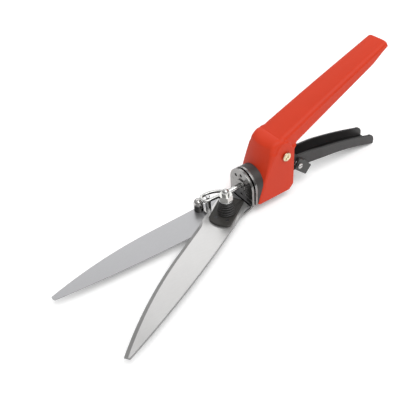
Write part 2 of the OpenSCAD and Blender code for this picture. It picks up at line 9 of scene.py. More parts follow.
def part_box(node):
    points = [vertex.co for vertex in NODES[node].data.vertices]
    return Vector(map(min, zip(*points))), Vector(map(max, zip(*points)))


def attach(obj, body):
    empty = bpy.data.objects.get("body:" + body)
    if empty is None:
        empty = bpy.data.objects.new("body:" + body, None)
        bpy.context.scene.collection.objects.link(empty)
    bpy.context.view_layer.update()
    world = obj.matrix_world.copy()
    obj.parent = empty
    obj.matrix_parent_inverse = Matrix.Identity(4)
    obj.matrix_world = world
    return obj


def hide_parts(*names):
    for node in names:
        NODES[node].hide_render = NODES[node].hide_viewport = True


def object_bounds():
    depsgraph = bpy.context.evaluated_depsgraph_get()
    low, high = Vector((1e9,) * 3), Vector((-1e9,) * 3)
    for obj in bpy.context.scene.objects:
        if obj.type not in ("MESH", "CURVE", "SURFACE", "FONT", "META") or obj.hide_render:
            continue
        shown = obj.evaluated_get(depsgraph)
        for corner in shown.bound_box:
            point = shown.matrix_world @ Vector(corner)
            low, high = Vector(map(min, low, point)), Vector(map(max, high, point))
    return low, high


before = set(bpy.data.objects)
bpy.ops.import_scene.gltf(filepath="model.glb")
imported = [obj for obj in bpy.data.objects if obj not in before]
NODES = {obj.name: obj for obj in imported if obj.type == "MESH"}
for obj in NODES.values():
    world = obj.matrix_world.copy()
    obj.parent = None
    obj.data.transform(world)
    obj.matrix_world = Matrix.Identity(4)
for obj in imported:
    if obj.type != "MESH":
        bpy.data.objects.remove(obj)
CAD_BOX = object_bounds()

MM = 0.001
sleeve_low, sleeve_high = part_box("swivel_sleeve")
AXIS = Vector((0, (sleeve_low.y + sleeve_high.y) / 2, (sleeve_low.z + sleeve_high.z) / 2))


def at(x, y, z):
    """A place in millimetres from the swivel axis at the pivot bolt's station, as a point of the frame."""
    return Vector((x * MM, y * MM, z * MM)) + AXIS


# ---------------------------------------------------------------- materials

GRIME = (0.08, 0.07, 0.06, 1)
GRIME_SPREAD = 0.14
RELIEF_DEPTH = 0.05 * MM

# The shading's rounded edges, in samples and in millimetres
ROUND_SAMPLES = 6
ROUND_LEAST = 0.25

# The part of a noise's range that is spread out, where the painted dark rim of shade starts and ends, and
# how far the rounded normal leaves the face's own where an edge is fully worn and where it is not worn
NOISE_LOW, NOISE_HIGH = 0.3, 0.7
RIM_FROM, RIM_TO = 0.45, 0.85
WEAR_FULL, WEAR_NONE = 0.90, 0.995


def ramp(nodes, stops):
    """Grey colour ramp through (place, value) stops."""
    node = nodes.new("ShaderNodeValToRGB")
    elements = node.color_ramp.elements
    while len(elements) < len(stops):
        elements.new(0.5)
    for element, (place, value) in zip(elements, stops):
        element.position = place
        element.color = (value, value, value, 1)
    return node


def surface(name, base, metallic=0.0, rough=0.4, vary=0.08, patch=45, rough_spread=0.12, grain=900,
            bump=0.15, stretch=None, worn=None, worn_share=0.5, round_mm=0.0, specular=0.5,
            speckle=0.0, dark=None, facing=None, below=None, rim=0.0):
    """Procedural finish: colour and roughness patches, fine bump, worn edges and a little grime.

    stretch is the fine grain's scale along x, y and z and its turn about z. worn is the colour
    of rubbed edges. dark is the grime's scale, the noise level it starts at and its strength.
    facing paints shade by how far a face's own normal points up, below paints shade on the parts under
    a height, and rim paints a dark rim of shade where the surface turns away from the eye.
    """
    mat = bpy.data.materials.new(name)
    mat.use_nodes = True
    nodes, links = mat.node_tree.nodes, mat.node_tree.links
    shader = nodes["Principled BSDF"]
    shader.inputs["Metallic"].default_value = metallic
    shader.inputs["Specular IOR Level"].default_value = specular

    coords = nodes.new("ShaderNodeTexCoord")
    mapping = nodes.new("ShaderNodeMapping")
    links.new(coords.outputs["Object"], mapping.inputs["Vector"])
    if stretch:
        mapping.inputs["Rotation"].default_value = (0, 0, stretch[3])
        mapping.inputs["Scale"].default_value = stretch[:3]

    def noise(scale, detail, source):
        node = nodes.new("ShaderNodeTexNoise")
        node.inputs["Scale"].default_value = scale
        node.inputs["Detail"].default_value = detail
        links.new(source, node.inputs["Vector"])
        return node.outputs["Fac"]

    def map_range(value, from_low, from_high, to_low, to_high):
        node = nodes.new("ShaderNodeMapRange")
        node.inputs["From Min"].default_value = from_low
        node.inputs["From Max"].default_value = from_high
        node.inputs["To Min"].default_value = to_low
        node.inputs["To Max"].default_value = to_high
        links.new(value, node.inputs["Value"])
        return node.outputs["Result"]

    def spread(value, centre, width):
        return map_range(value, NOISE_LOW, NOISE_HIGH, centre - width, centre + width)

    def multiply(a, b):
        node = nodes.new("ShaderNodeMath")
        node.operation = "MULTIPLY"
        links.new(a, node.inputs[0])
        links.new(b, node.inputs[1])
        return node.outputs[0]

    def blend(start, end, factor):
        node = nodes.new("ShaderNodeMix")
        node.data_type = "RGBA"
        node.inputs["B"].default_value = end
        links.new(factor, node.inputs["Factor"])
        links.new(start, node.inputs["A"])
        return node.outputs["Result"]

    def height(source):
        node = nodes.new("ShaderNodeSeparateXYZ")
        links.new(source, node.inputs[0])
        return node.outputs["Z"]

    patches = noise(patch, 4, coords.outputs["Object"])
    fine = noise(grain, 5, mapping.outputs["Vector"])
    shade = spread(patches, 1.0, vary)
    if speckle:
        shade = multiply(shade, spread(fine, 1.0, speckle))
    # facing: painted shade, a colour factor by how far the face's own normal points up
    if facing:
        mask = ramp(nodes, facing)
        links.new(height(coords.outputs["Normal"]), mask.inputs["Fac"])
        shade = multiply(shade, mask.outputs["Color"])
    # below: painted shade, the colour darkened under a given height
    if below:
        level, width, factor = below
        place = height(coords.outputs["Object"])
        shade = multiply(shade, map_range(place, level - width, level + width, factor, 1.0))
    # rim: painted shade, a darker rim where the surface turns away from the eye
    if rim:
        weight = nodes.new("ShaderNodeLayerWeight")
        mask = ramp(nodes, [(RIM_FROM, 1.0), (RIM_TO, 1 - rim)])
        links.new(weight.outputs["Facing"], mask.inputs["Fac"])
        shade = multiply(shade, mask.outputs["Color"])
    tint = nodes.new("ShaderNodeVectorMath")
    tint.operation = "SCALE"
    tint.inputs[0].default_value = base
    links.new(shade, tint.inputs["Scale"])
    colour = tint.outputs["Vector"]
    roughness = spread(patches, rough, rough_spread / 2)

    rounded = nodes.new("ShaderNodeBevel")
    rounded.samples = ROUND_SAMPLES
    rounded.inputs["Radius"].default_value = max(round_mm, ROUND_LEAST) * MM
    if worn:
        geometry = nodes.new("ShaderNodeNewGeometry")
        dot = nodes.new("ShaderNodeVectorMath")
        dot.operation = "DOT_PRODUCT"
        links.new(rounded.outputs["Normal"], dot.inputs[0])
        links.new(geometry.outputs["Normal"], dot.inputs[1])
        edge = ramp(nodes, [(WEAR_FULL, 1.0), (WEAR_NONE, 0.0)])
        links.new(dot.outputs["Value"], edge.inputs["Fac"])
        share = spread(patches, worn_share, worn_share)
        colour = blend(colour, (*worn, 1), multiply(edge.outputs["Color"], share))
    if dark:
        scale, start, strength = dark
        stains = noise(scale, 3, coords.outputs["Object"])
        colour = blend(colour, GRIME, map_range(stains, start, start + GRIME_SPREAD, 0, strength))
    links.new(colour, shader.inputs["Base Color"])
    links.new(roughness, shader.inputs["Roughness"])

    relief = nodes.new("ShaderNodeBump")
    relief.inputs["Strength"].default_value = bump
    relief.inputs["Distance"].default_value = RELIEF_DEPTH
    links.new(fine, relief.inputs["Height"])
    if round_mm > 0:
        links.new(rounded.outputs["Normal"], relief.inputs["Normal"])
    links.new(relief.outputs["Normal"], shader.inputs["Normal"])
    return mat


# The blades' opening, the grain along each blade, and the painted shade by height and by facing
OPEN = math.radians(27.5)
ALONG = (1, 14, 1, 0)
ALONG_OPEN = (1, 14, 1, -OPEN)
# Painted shade: the stop stud is darkened below its waist, under its domed head
STUD_WAIST = at(0, 0, -8.2).z
STUD_UNDER_HEAD_SHADE = (STUD_WAIST, 0.0006, 0.16)
# Painted shade on the lever's upward faces, its wall tops and inner web, which lie in the shade under the
# handle
LEVER_TOP_SHADE = [(0.40, 1.0), (0.55, 0.18)]
# Painted shade on the blades: their bevels and edges are darkened against their flat tops, by the way they
# face
UPPER_BLADE_SHADE = [(0.30, 0.38), (0.78, 0.38), (0.82, 0.68), (0.94, 0.68), (0.98, 1.0)]
LOWER_BLADE_SHADE = [(0.30, 0.55), (0.90, 0.55), (0.98, 1.0)]

RED = surface("red_enamel", (0.58, 0.038, 0.010), rough=0.48, vary=0.05, patch=22, rough_spread=0.1,
              grain=500, bump=0.10, worn=(0.30, 0.035, 0.02), worn_share=0.25, specular=0.22)
BLACK = surface("black_coating", (0.034, 0.032, 0.029), rough=0.45, vary=0.25, patch=70, grain=700, bump=0.3,
                worn=(0.12, 0.12, 0.12), worn_share=0.4, round_mm=0.25, specular=0.4)
LEVER_BLACK = surface("lever_coating", (0.031, 0.030, 0.030), rough=0.42, vary=0.15, patch=60, grain=600,
                      bump=0.25, worn=(0.13, 0.13, 0.13), worn_share=0.4, facing=LEVER_TOP_SHADE, specular=0.4)
CATCH_BLACK = surface("catch_coating", (0.046, 0.046, 0.045), rough=0.42, vary=0.15, patch=90, grain=600,
                      bump=0.25, worn=(0.15, 0.15, 0.15), worn_share=0.4, specular=0.4)
PLASTIC = surface("collar_plastic", (0.034, 0.030, 0.029), rough=0.42, vary=0.12, patch=80, grain=800,
                  bump=0.2, round_mm=0.3, worn=(0.07, 0.07, 0.07), worn_share=0.3, specular=0.4)
SPRING_BLACK = surface("oiled_spring", (0.026, 0.025, 0.024), rough=0.36, vary=0.2, patch=120, grain=900,
                       bump=0.2, specular=0.4)
SPRING = surface("drawn_wire", (0.25, 0.25, 0.26), metallic=1.0, rough=0.35, vary=0.15, patch=90, grain=900)
ZINC = surface("zinc_plate", (0.56, 0.56, 0.56), metallic=1.0, rough=0.28, vary=0.10, patch=90, grain=700,
               bump=0.15, round_mm=0.25, worn=(0.8, 0.8, 0.8), dark=(160, 0.56, 0.35))
PLATE = surface("plate_zinc", (0.27, 0.265, 0.26), metallic=1.0, rough=0.20, vary=0.14, patch=70, grain=700,
                bump=0.12, round_mm=0.3, worn=(0.85, 0.85, 0.85), worn_share=0.8, dark=(140, 0.55, 0.45))
# The rim values here paint a dark rim of shade where these bright round parts turn away from the eye
BRIGHT = surface("bright_plate", (0.56, 0.56, 0.55), metallic=1.0, rough=0.14, vary=0.08, patch=120,
                 grain=900, bump=0.08, round_mm=0.2, dark=(260, 0.58, 0.35), rim=0.72)
STUD = surface("stud_plate", (0.56, 0.55, 0.54), metallic=1.0, rough=0.16, vary=0.10, patch=120, grain=900,
               bump=0.08, dark=(220, 0.55, 0.4), rim=0.8, below=STUD_UNDER_HEAD_SHADE)
NUT = surface("nut_plate", (0.60, 0.60, 0.58), metallic=1.0, rough=0.16, vary=0.08, patch=120, grain=900,
              bump=0.08, round_mm=0.12, dark=(260, 0.60, 0.3), rim=0.5)
DARK = surface("dark_oxide", (0.09, 0.09, 0.095), metallic=0.9, rough=0.36, vary=0.2, patch=150, grain=800,
               bump=0.15, round_mm=0.2)
# The lower blade's steel is given a darker tone than the upper blade's
BLADE_TOP = surface("upper_blade_steel", (0.60, 0.595, 0.59), metallic=0.85, rough=0.34, vary=0.045, patch=24,
                    rough_spread=0.10, grain=240, bump=0.12, stretch=ALONG_OPEN, speckle=0.03,
                    round_mm=0.2, facing=UPPER_BLADE_SHADE)
BLADE_LOW = surface("lower_blade_steel", (0.395, 0.395, 0.405), metallic=0.85, rough=0.32, vary=0.06, patch=26,
                    rough_spread=0.12, grain=240, bump=0.12, stretch=ALONG, speckle=0.03, round_mm=0.2,
                    facing=LOWER_BLADE_SHADE)
BRONZE = surface("sintered_bronze", (0.42, 0.30, 0.16), metallic=1.0, rough=0.45, vary=0.15, patch=160,
                 grain=900)
PIN = surface("yellow_zinc", (0.70, 0.62, 0.42), metallic=1.0, rough=0.28, vary=0.14, patch=200, grain=900,
              bump=0.1, round_mm=0.2, dark=(260, 0.52, 0.45))


# ---------------------------------------------------------------- mesh tools

DOUBLE = 1e-7
WELD = 1e-6
FLAT_ANGLE = 0.3
BEVEL_SEGMENTS = 2
WIRE_SIDES = 16
WIRE_UP = Vector((0.31, 0.92, 0.24)).normalized()


def link(name, mesh):
    """A scene object that shows a mesh."""
    obj = bpy.data.objects.new(name, mesh)
    bpy.context.scene.collection.objects.link(obj)
    return obj


def mesh_of(name, fill):
    """A mesh filled by a function that works on a bmesh."""
    mesh = bpy.data.meshes.new(name)
    work = bmesh.new()
    fill(work)
    work.to_mesh(mesh)
    work.free()
    return mesh


def add(name, verts, faces, material, body, replaced=()):
    """A smooth piece of its own that rides on a body and stands in for the replaced nodes."""
    mesh = bpy.data.meshes.new(name)
    mesh.from_pydata([tuple(v) for v in verts], [], faces)
    mesh.validate()
    work = bmesh.new()
    work.from_mesh(mesh)
    bmesh.ops.remove_doubles(work, verts=work.verts, dist=DOUBLE)
    bmesh.ops.recalc_face_normals(work, faces=work.faces)
    work.to_mesh(mesh)
    work.free()
    obj = link(name, mesh)
    for poly in mesh.polygons:
        poly.use_smooth = True
    mesh.materials.append(material)
    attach(obj, body)
    if replaced:
        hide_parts(*replaced)
    return obj


def grid_faces(rows, cols, wrap_rows=False, wrap_cols=False):
    """Four-sided faces over rows of points, closed round on itself where wrapped."""
    faces = []
    for i in range(rows if wrap_rows else rows - 1):
        for j in range(cols if wrap_cols else cols - 1):
            a, b = i * cols + j, i * cols + (j + 1) % cols
            c, d = ((i + 1) % rows) * cols + (j + 1) % cols, ((i + 1) % rows) * cols + j
            faces.append((a, b, c, d))
    return faces


def closed_tube_faces(rows, sides):
    """Faces round a stack of rings, with a plate at each end."""
    faces = grid_faces(rows, sides, wrap_cols=True)
    faces.append(tuple(range(sides - 1, -1, -1)))
    faces.append(tuple(range((rows - 1) * sides, rows * sides)))
    return faces


def tube(name, pts, radius, material, body, replaced):
    """Round wire through a line of points, with rounded ends."""
    count = len(pts)
    rows = []
    side = None
    for i, p in enumerate(pts):
        ahead = (pts[min(i + 1, count - 1)] - pts[max(i - 1, 0)]).normalized()
        if side is None:
            side = WIRE_UP.cross(ahead).normalized()
        else:
            side = (side - ahead * side.dot(ahead)).normalized()
        rows.append((p, ahead, side, ahead.cross(side), radius))
    cap = [(math.sin(k * math.pi / 10), math.cos(k * math.pi / 10)) for k in range(1, 5)]

    def end_rows(row, sign, steps):
        p, ahead, u, v, _ = row
        return [(p + ahead * radius * s * sign, ahead, u, v, radius * c) for s, c in steps]

    rows = end_rows(rows[0], -1, cap[::-1]) + rows + end_rows(rows[-1], 1, cap)
    verts = []
    for p, _, u, v, r in rows:
        for k in range(WIRE_SIDES):
            a = 2 * math.pi * k / WIRE_SIDES
            verts.append(p + (u * math.cos(a) + v * math.sin(a)) * r)
    add(name, verts, closed_tube_faces(len(rows), WIRE_SIDES), material, body, replaced)


def soften(obj, width, angle):
    """Rounds the edges sharper than an angle, by a width in millimetres."""
    bevel = obj.modifiers.new("bevel", "BEVEL")
    bevel.width = width * MM
    bevel.segments = BEVEL_SEGMENTS
    bevel.limit_method = "ANGLE"
    bevel.angle_limit = math.radians(angle)
    return bevel


def finish_node(name, material, slot, width, angle=32, flat=False):
    """Material and softened edges for a piece carried over from the CAD frame."""
    obj = NODES[name]
    mesh = obj.data
    mesh.materials.clear()
    mesh.materials.append(material)
    for attribute in ("custom_normal", "sharp_edge", "sharp_face"):
        if attribute in mesh.attributes:
            mesh.attributes.remove(mesh.attributes[attribute])
    for poly in mesh.polygons:
        poly.use_smooth = not flat
        poly.material_index = 0
    weld = obj.modifiers.new("weld", "WELD")
    weld.merge_threshold = WELD
    plane = obj.modifiers.new("plane", "DECIMATE")
    plane.decimate_type = "DISSOLVE"
    plane.angle_limit = math.radians(FLAT_ANGLE)
    if width > 0:
        soften(obj, width, angle).miter_outer = "MITER_ARC"
    if not flat:
        shade = obj.modifiers.new("shade", "WEIGHTED_NORMAL")
        shade.weight = 50
        shade.keep_sharp = True


# ---------------------------------------------------------------- shell

# All in millimetres from the swivel axis; a Vector of two is a place (x, z) on the side.
FRONT_X, FRONT_Z, FRONT_LEAN = -28.2, -14.5, 0.34
FRONT_BOW = 3.0
WEB_CROWN = 0.45
WALL = 1.5
CHEEK_W, CHANNEL_W, TAIL_W = 15.1, 13.8, 10.3
TAPER_X = -60
TAIL_X = -168.2
PIN_X, PIN_Z = -56.0, 21.2

# The nose, where the front turns over into the channel's web
NOSE_R, NOSE_Z, NOSE_SET = 8.0, 29.0, 0.2
NOSE_END = 98
WEB_LIFT, WEB_SAG = 1.1, 2.2

# The far end: its top corner, how much its foot is raised, and the radius it turns in over
END_TOP = Vector((-166.2, 80.2))
END_LIFT, END_LIFT_FROM = 3.2, 0.82
END_ROUND, END_RINGS = 1.3, 4

# Radius of the long edges: at the front's foot, over the nose, and at the far end
FOOT_RADIUS, NOSE_RADIUS, TAIL_RADIUS = 1.7, 4.0, 3.2
RADIUS_FROM, RADIUS_RISE = 14, 18

# The side's lower end: the cheek's foot at the back, its rear edge, and where the channel's edge starts
TOE, REAR_LOW, REAR_HIGH = Vector((-61, -15.7)), Vector((-65.2, -11.3)), Vector((-65.2, 24.0))
THROAT = Vector((-69, 29.1))
THROAT_SLOPE = 0.437

# The raised panel of the cheek, and its lobe round the pin
LOBE_X, LOBE_Z, LOBE_R = -54.6, 26.8, 8.4
PANEL_FOOT, PANEL_HEAD = Vector((-25.5, -14.5)), Vector((-44.2, 27.5))
PANEL_BLEND = 2.4
STEP_OUT, STEP_RUN = 0.5, 2.0

# Rows of points along the shell, and columns across the top, the corner and the side
FRONT_ROWS, NOSE_ROWS, WEB_ROWS, TOE_ROWS = 88, 24, 94, 8
FINE_ROWS, FINE_SHARE = 30, 0.10
EDGE_STEPS, TOP_COLS, SIDE_COLS = 6, 13, 100

# The collar's opening
OPENING_R, OPENING_DEPTH, OPENING_X, OPENING_TOP = 13.55, 40, -40, 3
OPENING_SIDES = 96
RIM_WIDTH, RIM_ANGLE = 0.3, 82


def front_line(z):
    """Front of the shell's middle line at a height."""
    return FRONT_X - FRONT_LEAN * (z - FRONT_Z)


def bottom_line(x):
    """Lower edge of the channel's side."""
    return THROAT.y + THROAT_SLOPE * (THROAT.x - x)


def smooth(t):
    t = min(1.0, max(0.0, t))
    return t * t * (3 - 2 * t)


def panel_depth(x, z):
    """How far a place on the side stands inside the raised cheek panel, in millimetres."""
    lobe = LOBE_R - math.hypot(x - LOBE_X, z - LOBE_Z)
    edge = PANEL_HEAD - PANEL_FOOT
    normal = Vector((-edge.y, edge.x)).normalized()
    skirt = min(normal.dot(Vector((x, z)) - PANEL_FOOT), PANEL_HEAD.y - z)
    near = max(PANEL_BLEND - abs(lobe - skirt), 0) / PANEL_BLEND
    return max(lobe, skirt) + near * near * PANEL_BLEND / 4


def side_y(x, z):
    """Half width of the shell's side at a place."""
    plain = CHANNEL_W + (TAIL_W - CHANNEL_W) * max(0.0, (TAPER_X - x) / (TAPER_X - TAIL_X))
    return plain + (CHEEK_W - CHANNEL_W) * smooth((panel_depth(x, z) + STEP_OUT) / STEP_RUN)


def web_share(i):
    """Share of the channel's length reached at row i, with closer rows beside the cheek's lobe."""
    if i <= FINE_ROWS:
        return FINE_SHARE * i / FINE_ROWS
    return FINE_SHARE + (1 - FINE_SHARE) * (i - FINE_ROWS) / (WEB_ROWS - FINE_ROWS)


def shell_profile():
    """Skin line down the middle of the shell, from the front's foot over the nose to the far end.

    Each point comes with how much it belongs to the bowed front, from 1 down to 0.
    """
    line = []
    centre = Vector((front_line(NOSE_Z) - NOSE_R - NOSE_SET, NOSE_Z))
    start = math.degrees(math.atan(FRONT_LEAN))
    front_top = centre + NOSE_R * Vector((math.cos(math.radians(start)), math.sin(math.radians(start))))
    foot = Vector((FRONT_X, FRONT_Z))
    for i in range(FRONT_ROWS):
        line.append((foot.lerp(front_top, i / FRONT_ROWS), 1.0))
    for i in range(NOSE_ROWS + 1):
        a = math.radians(start + (NOSE_END - start) * i / NOSE_ROWS)
        line.append((centre + NOSE_R * Vector((math.cos(a), math.sin(a))), 1 - smooth(i / NOSE_ROWS)))
    nose_end = line[-1][0]
    for i in range(1, WEB_ROWS + 1):
        t = web_share(i)
        p = nose_end.lerp(END_TOP, t)
        lift = WEB_LIFT * math.sin(math.pi * t) - WEB_SAG * t * (1 - t)
        line.append((Vector((p.x, p.y + lift)), 0.0))
    return line


def row_end(k):
    """Where the side of row k ends: on the cheek's foot, its rear edge or the channel's lower edge."""
    nose_row = k - FRONT_ROWS
    if k < TOE_ROWS:
        return TOE.lerp(REAR_LOW, k / TOE_ROWS)
    if nose_row < 0:
        return REAR_LOW.lerp(REAR_HIGH, (k - TOE_ROWS) / (FRONT_ROWS - TOE_ROWS))
    if nose_row <= NOSE_ROWS:
        return REAR_HIGH.lerp(THROAT, nose_row / NOSE_ROWS)
    t = web_share(nose_row - NOSE_ROWS)
    x = THROAT.x + (TAIL_X - THROAT.x) * t
    return Vector((x, bottom_line(x) + END_LIFT * smooth((t - END_LIFT_FROM) / (1 - END_LIFT_FROM))))


def shell_row(p, front, inward, radius, end):
    """Points of one row from one side's lower edge, over the top, to the other's."""
    seam = p + inward * radius
    width = side_y(seam.x, seam.y)
    half = []
    for j in range(TOP_COLS):
        y = (width - radius) * j / (TOP_COLS - 1)
        share = 1 - (y / width) ** 2
        q = p + Vector((FRONT_BOW * front * share, 0)) - inward * WEB_CROWN * (1 - front) * share
        half.append((q.x, y, q.y))
    edge_bow = FRONT_BOW * front * (1 - ((width - radius) / width) ** 2)
    for j in range(1, EDGE_STEPS + 1):
        a = math.pi / 2 * j / EDGE_STEPS
        q = p + inward * radius * (1 - math.cos(a)) + Vector((edge_bow * math.cos(a), 0))
        half.append((q.x, width - radius + radius * math.sin(a), q.y))
    for j in range(1, SIDE_COLS + 1):
        q = seam.lerp(end, j / SIDE_COLS)
        half.append((q.x, side_y(q.x, q.y), q.y))
    return [(x, -y, z) for x, y, z in reversed(half[1:])] + half


def far_end(last):
    """Rings that turn the last row in over a small radius, for a flat plate across the channel."""
    foot = Vector((last[0][0], 0, last[0][2]))
    rise = Vector((END_TOP.x, 0, END_TOP.y)) - foot
    outward = Vector((-rise.z, 0, rise.x)).normalized()
    rings = []
    for j in range(1, END_RINGS + 1):
        a = math.pi / 2 * j / END_RINGS
        inset, advance = END_ROUND * (1 - math.cos(a)), END_ROUND * math.sin(a)
        ring = []
        for v in last:
            v = Vector(v)
            up = (v - foot).dot(rise) / rise.length_squared
            v = v - rise.normalized() * inset * up + outward * advance
            v.y *= 1 - inset / TAIL_W
            ring.append(tuple(v))
        rings.append(ring)
    return rings


def cut_opening(obj):
    """Cuts the collar's arched opening through the front and leaves a plain mesh."""
    def cylinder(work):
        turn = Matrix.Rotation(math.pi / 2, 4, "Y")
        bmesh.ops.create_cone(work, cap_ends=True, segments=OPENING_SIDES, radius1=OPENING_R * MM,
                              radius2=OPENING_R * MM, depth=OPENING_DEPTH * MM,
                              matrix=Matrix.Translation(at(OPENING_X, 0, 0)) @ turn)

    def box(work):
        size = Matrix.Diagonal((OPENING_DEPTH * MM, 2 * OPENING_R * MM, OPENING_DEPTH * MM, 1))
        middle = at(OPENING_X, 0, OPENING_TOP - OPENING_DEPTH / 2)
        bmesh.ops.create_cube(work, size=1, matrix=Matrix.Translation(middle) @ size)

    cutters = [link("cutter", mesh_of("cutter", cylinder)), link("box_cutter", mesh_of("box_cutter", box))]
    for cutter in cutters:
        cut = obj.modifiers.new("cut", "BOOLEAN")
        cut.operation = "DIFFERENCE"
        cut.solver = "EXACT"
        cut.object = cutter
    bpy.context.view_layer.update()
    baked = bpy.data.meshes.new_from_object(obj.evaluated_get(bpy.context.evaluated_depsgraph_get()))
    obj.modifiers.clear()
    obj.data = baked
    for cutter in cutters:
        bpy.data.objects.remove(cutter)
    for poly in obj.data.polygons:
        poly.use_smooth = True


def build_shell():
    line = shell_profile()
    count = len(line)
    nose_last = FRONT_ROWS + NOSE_ROWS
    rows = []
    for k, (p, front) in enumerate(line):
        along = (line[min(k + 1, count - 1)][0] - line[max(k - 1, 0)][0]).normalized()
        if k <= nose_last:
            radius = FOOT_RADIUS + (NOSE_RADIUS - FOOT_RADIUS) * smooth((p.y - RADIUS_FROM) / RADIUS_RISE)
        else:
            radius = NOSE_RADIUS - (NOSE_RADIUS - TAIL_RADIUS) * (k - nose_last) / (count - nose_last)
        rows.append(shell_row(p, front, Vector((-along.y, along.x)), radius, row_end(k)))
    rows += far_end(rows[-1])
    cols = len(rows[0])
    faces = grid_faces(len(rows), cols)
    faces.append(tuple(range((len(rows) - 1) * cols, len(rows) * cols)))
    verts = [at(*v) for row in rows for v in row]
    obj = add("shell_skin", verts, faces, RED, "handle", ("handle_shell",))
    thick = obj.modifiers.new("wall", "SOLIDIFY")
    thick.thickness = WALL * MM
    thick.offset = -1
    thick.use_even_offset = False
    cut_opening(obj)
    soften(obj, RIM_WIDTH, RIM_ANGLE)


build_shell()

# ---------------------------------------------------------------- springs and rod

# Heights that the cone spring stands between, and how far the pivot bolt is from the swivel axis
PLATE_TOP, WASHER_FOOT = -12.5 + 2, 2.6 - 0.6
PIVOT_Y = 8.6


def cone_spring():
    """Cone round the pivot bolt, from the drive plate up to the nut's washer, with closed end turns."""
    wire, turns, steps = 0.8, 5.5, 48
    foot_r, head_r = 7, 4.8
    z0 = PLATE_TOP + wire
    z1 = WASHER_FOOT - wire
    closed = 2 * wire + 0.1
    pitch = (z1 - z0 - 2 * closed) / (turns - 2)
    pts = []
    for i in range(int(turns * steps) + 1):
        t = i / steps
        if t < 1:
            z = closed * t
        elif t > turns - 1:
            z = z1 - z0 - closed * (turns - t)
        else:
            z = closed + pitch * (t - 1)
        r = foot_r + (head_r - foot_r) * t / turns
        a = 2 * math.pi * t
        pts.append(at(r * math.cos(a), PIVOT_Y + r * math.sin(a), z0 + z))
    tube("cone_spring_wire", pts, wire * MM, SPRING_BLACK, "head", ("cone_spring",))


cone_spring()


def return_spring():
    """Coil round the lever's pin, with one leg up under the shell and one back along the lever."""
    wire, coil_r, half, turns, steps = 0.7, 6.2, 3.8, 4.25, 40
    leg_top, leg_low = 10.5, 5
    bend, foot = (-66, 7.1), (-78.5, -2.9)
    pts = [at(PIN_X + coil_r, half, PIN_Z + leg_top), at(PIN_X + coil_r, half, PIN_Z + leg_low)]
    for i in range(int(turns * steps) + 1):
        t = i / (turns * steps)
        a = -2 * math.pi * i / steps
        pts.append(at(PIN_X + coil_r * math.cos(a), half - 2 * half * t, PIN_Z + coil_r * math.sin(a)))
    pts += [at(x, -half, z) for x, z in (bend, foot)]
    tube("return_spring_wire", pts, wire * MM, SPRING, "lever", ("return_spring",))


return_spring()


# The eye's outer and inner lines seen from above, round in front and closing on to the rod behind
EYE_OUT = [(14.0, -5.8), (14.0, -8.8), (11.3, -11.0), (4, -10.9), (-3, -8.3), (-9.5, -2.2), (-9.5, 1.4),
           (-3, 0.6), (4, -0.2), (11.3, -0.6), (14.0, -2.8)]
EYE_IN = [(11.6, -5.8), (11.6, -7.4), (10.0, -8.6), (4, -8.5), (-1.4, -6.5), (-5.4, -3.0), (-5.2, -2.2),
          (-3, -2.0), (4, -2.7), (10.0, -3.0), (11.6, -4.2)]
EYE_Z, EYE_HEIGHT, EYE_SQUARE = -0.6, 2.6, 0.62
EYE_STEPS, EYE_SIDES = 96, 20
CORNER_CUTS, SMOOTH_PASSES, DENSE_STEP = 3, 12, 0.15

# The shaft's stations and radii, from the fork to its rounded front end
SHAFT = [(-66.5, 1.7), (-66.1, 2.1), (-9.2, 2.1), (-8.0, 1.95), (-7.0, 1.5), (-6.6, 0.8)]
SHAFT_SIDES = 32


def resample(outline, count):
    """Evenly spaced, smoothed points round a closed outline, starting at its front."""
    pts = [Vector(p) for p in outline]
    for _ in range(CORNER_CUTS):
        pts = [p.lerp(pts[(i + 1) % len(pts)], f) for i, p in enumerate(pts) for f in (0.25, 0.75)]
    dense = []
    for i, p in enumerate(pts):
        q = pts[(i + 1) % len(pts)]
        steps = max(1, int((q - p).length / DENSE_STEP))
        dense += [p.lerp(q, k / steps) for k in range(steps)]
    for _ in range(SMOOTH_PASSES):
        dense = [(dense[i - 1] + dense[i] * 2 + dense[(i + 1) % len(dense)]) / 4 for i in range(len(dense))]
    total = [0.0]
    for i in range(len(dense)):
        total.append(total[-1] + (dense[(i + 1) % len(dense)] - dense[i]).length)
    result = []
    k = 0
    for i in range(count):
        want = total[-1] * i / count
        while total[k + 1] < want:
            k += 1
        share = (want - total[k]) / (total[k + 1] - total[k])
        result.append(dense[k].lerp(dense[(k + 1) % len(dense)], share))
    return result


def squared(value):
    """Pushes a sine or cosine outward, so that a round section turns into a rounded square."""
    return math.copysign(abs(value) ** EYE_SQUARE, value)


def pull_rod():
    """The rod's flattened eye and its round shaft."""
    verts = []
    for a, b in zip(resample(EYE_IN, EYE_STEPS), resample(EYE_OUT, EYE_STEPS)):
        mid, half = (a + b) / 2, (b - a) / 2
        for k in range(EYE_SIDES):
            t = 2 * math.pi * k / EYE_SIDES
            c, s = squared(math.cos(t)), squared(math.sin(t))
            verts.append(at(mid.x + half.x * c, mid.y + half.y * c, EYE_Z + EYE_HEIGHT / 2 * s))
    faces = grid_faces(EYE_STEPS, EYE_SIDES, True, True)
    add("pull_rod_eye", verts, faces, BRIGHT, "rod")
    verts = []
    for x, r in SHAFT:
        for k in range(SHAFT_SIDES):
            a = 2 * math.pi * k / SHAFT_SIDES
            verts.append(at(x, r * math.cos(a), r * math.sin(a)))
    faces = closed_tube_faces(len(SHAFT), SHAFT_SIDES)
    add("pull_rod_shaft", verts, faces, BRIGHT, "rod", ("pull_rod",))


pull_rod()

# ---------------------------------------------------------------- pieces carried over

